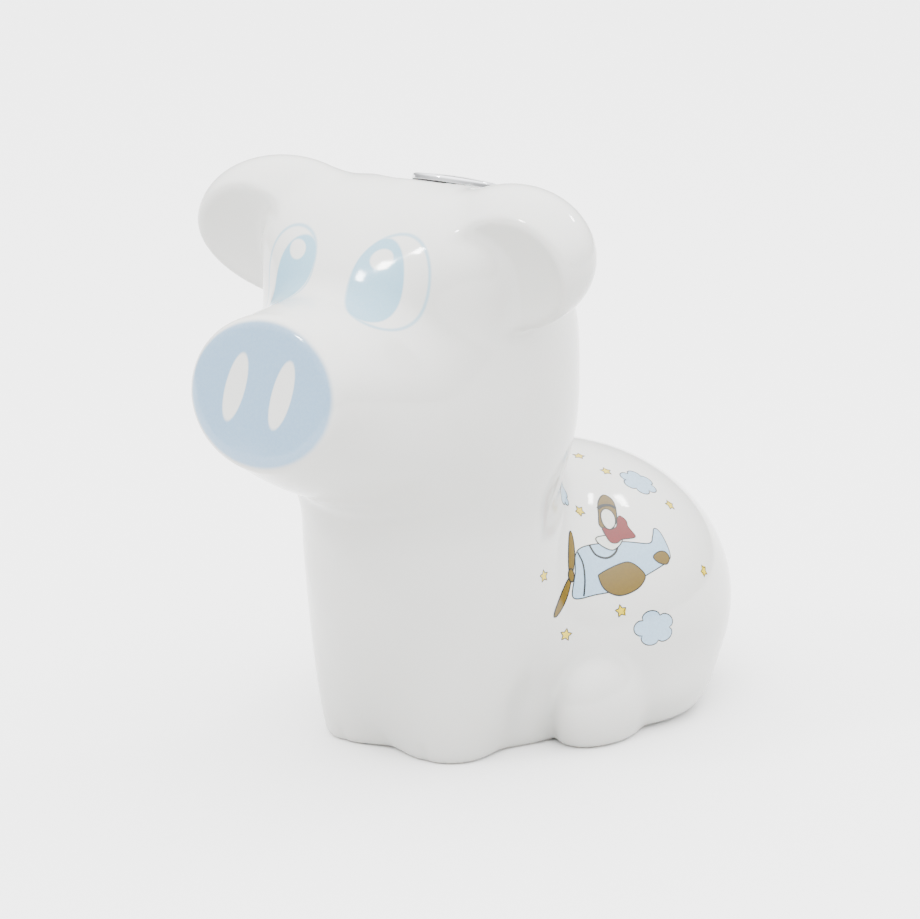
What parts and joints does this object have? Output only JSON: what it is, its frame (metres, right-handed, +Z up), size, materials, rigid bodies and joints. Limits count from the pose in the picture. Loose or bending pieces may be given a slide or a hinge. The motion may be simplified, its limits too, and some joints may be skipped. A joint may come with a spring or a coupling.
{
  "type": "piggy bank",
  "caption": "Seated hollow porcelain pig money box with flap ears and a lift-off slotted chrome cap in the crown.",
  "frame": {"origin": "on the floor, at the bottom middle of the whole object's box", "axes": "+Z up, the pig faces -Y, its left side is +X"},
  "size_m": [0.1714, 0.24, 0.2101],
  "materials": {
    "porcelain": "high gloss",
    "chrome": "polished",
    "plug_plastic": "satin",
    "rubber": "matte"
  },
  "bodies": {
    "bank": {"porcelain_body": "porcelain"},
    "cap": {"cap_plate": "chrome", "plug_sleeve": "plug_plastic", "cap_gasket": "rubber", "grip_ring_1": "rubber", "grip_ring_2": "rubber"}
  },
  "joints": [
    {"name": "cap_lift", "type": "slide", "parent": "bank", "child": "cap", "axis": [0, 0.2588, 0.9659], "range_m": [0, 0.04]}
  ]
}
